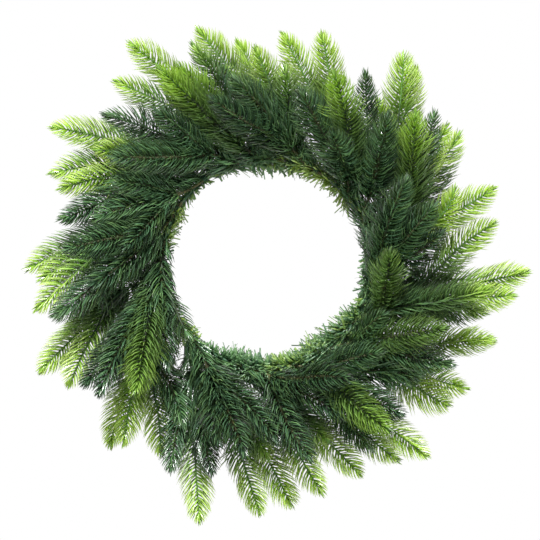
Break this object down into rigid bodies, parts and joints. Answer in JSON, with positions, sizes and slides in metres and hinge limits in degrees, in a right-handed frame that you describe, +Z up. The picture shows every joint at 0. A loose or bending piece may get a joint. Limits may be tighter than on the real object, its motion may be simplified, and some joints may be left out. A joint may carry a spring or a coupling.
{
  "type": "door wreath",
  "caption": "Round artificial fir wreath: moulded green sprays and a tinsel garland tied to a wire ring, which hangs on a door hook.",
  "frame": {"origin": "underside of the wire ring's top, where a door hook carries it", "axes": "+Z up; the wreath lies in the XZ plane with its face towards -Y and its back towards +Y; +X to the right as seen from the front"},
  "size_m": [0.5047, 0.097, 0.4957],
  "materials": {
    "moulded_fir": "matte",
    "pvc_tinsel": "satin",
    "painted_steel": "satin"
  },
  "bodies": {
    "root": {"ring_wire": "painted_steel", "tinsel_garland": "pvc_tinsel", "back_spray_01": "moulded_fir", "back_spray_02": "moulded_fir", "back_spray_03": "moulded_fir", "back_spray_04": "moulded_fir", "back_spray_05": "moulded_fir", "back_spray_06": "moulded_fir", "back_spray_07": "moulded_fir", "back_spray_08": "moulded_fir", "back_spray_09": "moulded_fir", "back_spray_10": "moulded_fir", "back_spray_11": "moulded_fir", "back_spray_12": "moulded_fir", "back_spray_13": "moulded_fir", "back_spray_14": "moulded_fir", "back_spray_15": "moulded_fir", "back_spray_16": "moulded_fir", "front_spray_01": "moulded_fir", "front_spray_02": "moulded_fir", "front_spray_03": "moulded_fir", "front_spray_04": "moulded_fir", "front_spray_05": "moulded_fir", "front_spray_06": "moulded_fir", "front_spray_07": "moulded_fir", "front_spray_08": "moulded_fir", "front_spray_09": "moulded_fir", "front_spray_10": "moulded_fir", "front_spray_11": "moulded_fir", "front_spray_12": "moulded_fir", "front_spray_13": "moulded_fir", "front_spray_14": "moulded_fir", "front_spray_15": "moulded_fir", "front_spray_16": "moulded_fir", "tie_wire_01": "painted_steel", "tie_wire_02": "painted_steel", "tie_wire_03": "painted_steel", "tie_wire_04": "painted_steel", "tie_wire_05": "painted_steel", "tie_wire_06": "painted_steel", "tie_wire_07": "painted_steel", "tie_wire_08": "painted_steel", "tie_wire_09": "painted_steel", "tie_wire_10": "painted_steel", "tie_wire_11": "painted_steel", "tie_wire_12": "painted_steel", "tie_wire_13": "painted_steel", "tie_wire_14": "painted_steel", "tie_wire_15": "painted_steel", "tie_wire_16": "painted_steel", "tie_wire_17": "painted_steel", "tie_wire_18": "painted_steel"}
  },
  "joints": []
}
